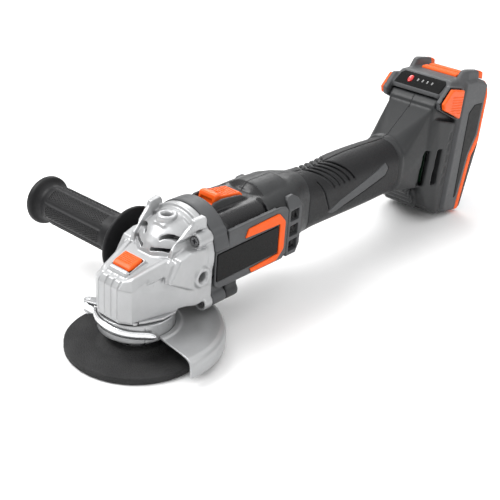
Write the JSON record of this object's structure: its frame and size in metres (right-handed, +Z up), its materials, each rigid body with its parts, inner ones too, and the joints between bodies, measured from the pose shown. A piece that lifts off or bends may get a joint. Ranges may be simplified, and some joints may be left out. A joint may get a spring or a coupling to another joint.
{
  "type": "angle grinder",
  "caption": "Cordless angle grinder: disc with quick-release guard, cast gear head, slide switch, rubber-sleeved grip, side handle and slide-on battery.",
  "frame": {"origin": "spindle axis at the grinding disc's working face, which is the surface the tool stands on", "axes": "+X along the body towards the battery, +Y towards the fitted side handle, +Z up along the spindle into the gear head"},
  "size_m": [0.5172, 0.2348, 0.158],
  "materials": {
    "cast_case": "satin die-cast",
    "screw_steel": "zinc plated",
    "tool_steel": "machined",
    "bush_brass": "sintered",
    "abrasive": "resin-bonded abrasive grain",
    "orange_plastic": "moulded, fine ribs",
    "orange_rubber": "soft overmould",
    "guard_steel": "satin grey",
    "plated_steel": "bright zinc plate",
    "black_plastic": "fine texture",
    "dark_plastic": "satin glass-filled nylon",
    "grey_plastic": "fine texture",
    "grey_rubber": "matt",
    "grip_rubber": "soft-touch overmould",
    "winding_copper": "lacquered winding",
    "motor_steel": "rolled",
    "magnet_iron": "ferrite",
    "brush_carbon": "carbon",
    "board_green": "solder mask",
    "cell_wrap": "shrink wrap",
    "panel_gloss": "polished",
    "red_plastic": "translucent"
  },
  "bodies": {
    "tool": {"gear_case": "cast_case", "gear_case_screws": "screw_steel", "bearing_cap": "cast_case", "bearing_cap_screws": "screw_steel", "lower_bearing": "tool_steel", "upper_bush": "bush_brass", "front_bearing": "tool_steel", "rear_bearing": "tool_steel", "motor_can": "motor_steel", "magnets": "magnet_iron", "brush_holders": "grey_plastic", "brushes": "brush_carbon", "front_ring": "grey_plastic", "housing_left": "dark_plastic", "housing_right": "dark_plastic", "housing_screws": "screw_steel", "side_panel_left": "grey_plastic", "side_panel_right": "grey_plastic", "side_trim_left": "orange_rubber", "side_trim_right": "orange_rubber", "label_plates": "black_plastic", "grip_sleeve_left": "grip_rubber", "grip_sleeve_right": "grip_rubber", "grip_inlays": "grey_rubber", "switch_body": "black_plastic", "controller": "board_green", "terminal_block": "black_plastic"},
    "spindle": {"spindle": "tool_steel", "crown_gear": "tool_steel", "inner_flange": "tool_steel", "grinding_disc": "abrasive", "clamp_nut": "tool_steel"},
    "rotor": {"motor_shaft": "tool_steel", "pinion": "tool_steel", "fan": "black_plastic", "armature": "winding_copper", "commutator": "winding_copper"},
    "lock": {"lock_button": "orange_plastic", "lock_pin": "tool_steel", "lock_spring": "tool_steel"},
    "guard": {"guard_shell": "guard_steel", "guard_collar": "plated_steel", "clamp_bolt": "screw_steel", "lever_pin": "plated_steel"},
    "lever": {"guard_lever": "plated_steel"},
    "switch": {"switch_slider": "orange_plastic", "switch_rod": "black_plastic"},
    "battery": {"battery_front_shell": "grey_plastic", "battery_rear_shell": "dark_plastic", "battery_band": "orange_rubber", "battery_labels": "black_plastic", "battery_cells": "cell_wrap", "battery_board": "board_green", "gauge_panel": "panel_gloss", "release_springs": "tool_steel"},
    "gauge_key": {"gauge_button": "red_plastic"},
    "release_left": {"release_button_left": "orange_plastic"},
    "release_right": {"release_button_right": "orange_plastic"},
    "side_handle": {"handle_stud": "screw_steel", "handle_grip": "grip_rubber"}
  },
  "joints": [
    {"name": "spindle_spin", "type": "hinge", "parent": "tool", "child": "spindle", "pos_m": [0, 0, 0], "axis": [0, 0, 1], "continuous": true},
    {"name": "rotor_spin", "type": "hinge", "parent": "tool", "child": "rotor", "pos_m": [0, 0, 0.0755], "axis": [1, 0, 0], "continuous": true},
    {"name": "lock_press", "type": "slide", "parent": "tool", "child": "lock", "axis": [0, 0, -1], "range_m": [0, 0.003], "stiffness_N_per_m": 500, "springref_m": -0.002, "deforming": ["lock_spring"]},
    {"name": "guard_turn", "type": "hinge", "parent": "tool", "child": "guard", "pos_m": [0, 0, 0], "axis": [0, 0, 1], "range_deg": [-90, 90]},
    {"name": "lever_open", "type": "hinge", "parent": "guard", "child": "lever", "pos_m": [-0.02, 0.034, 0], "axis": [0, 0, -1], "range_deg": [0, 60]},
    {"name": "switch_slide", "type": "slide", "parent": "tool", "child": "switch", "axis": [-1, 0, 0], "range_m": [0, 0.007]},
    {"name": "battery_slide", "type": "slide", "parent": "tool", "child": "battery", "axis": [0.0698, 0, 0.9976], "range_m": [0, 0.07]},
    {"name": "gauge_press", "type": "slide", "parent": "battery", "child": "gauge_key", "axis": [0.5158, 0, -0.8567], "range_m": [0, 0.0008], "stiffness_N_per_m": 800, "springref_m": -0.001},
    {"name": "release_left_press", "type": "slide", "parent": "battery", "child": "release_left", "axis": [0, -1, 0], "range_m": [0, 0.0014], "stiffness_N_per_m": 250, "springref_m": -0.002, "deforming": ["release_springs"]},
    {"name": "release_right_press", "type": "slide", "parent": "battery", "child": "release_right", "axis": [0, 1, 0], "range_m": [0, 0.0014], "stiffness_N_per_m": 250, "springref_m": -0.002},
    {"name": "handle_unscrew", "type": "slide", "parent": "tool", "child": "side_handle", "axis": [0, 1, 0], "range_m": [0, 0.03]}
  ],
  "couplings": [
    {"joint": "rotor_spin", "follows": "spindle_spin", "ratio": 3}
  ]
}
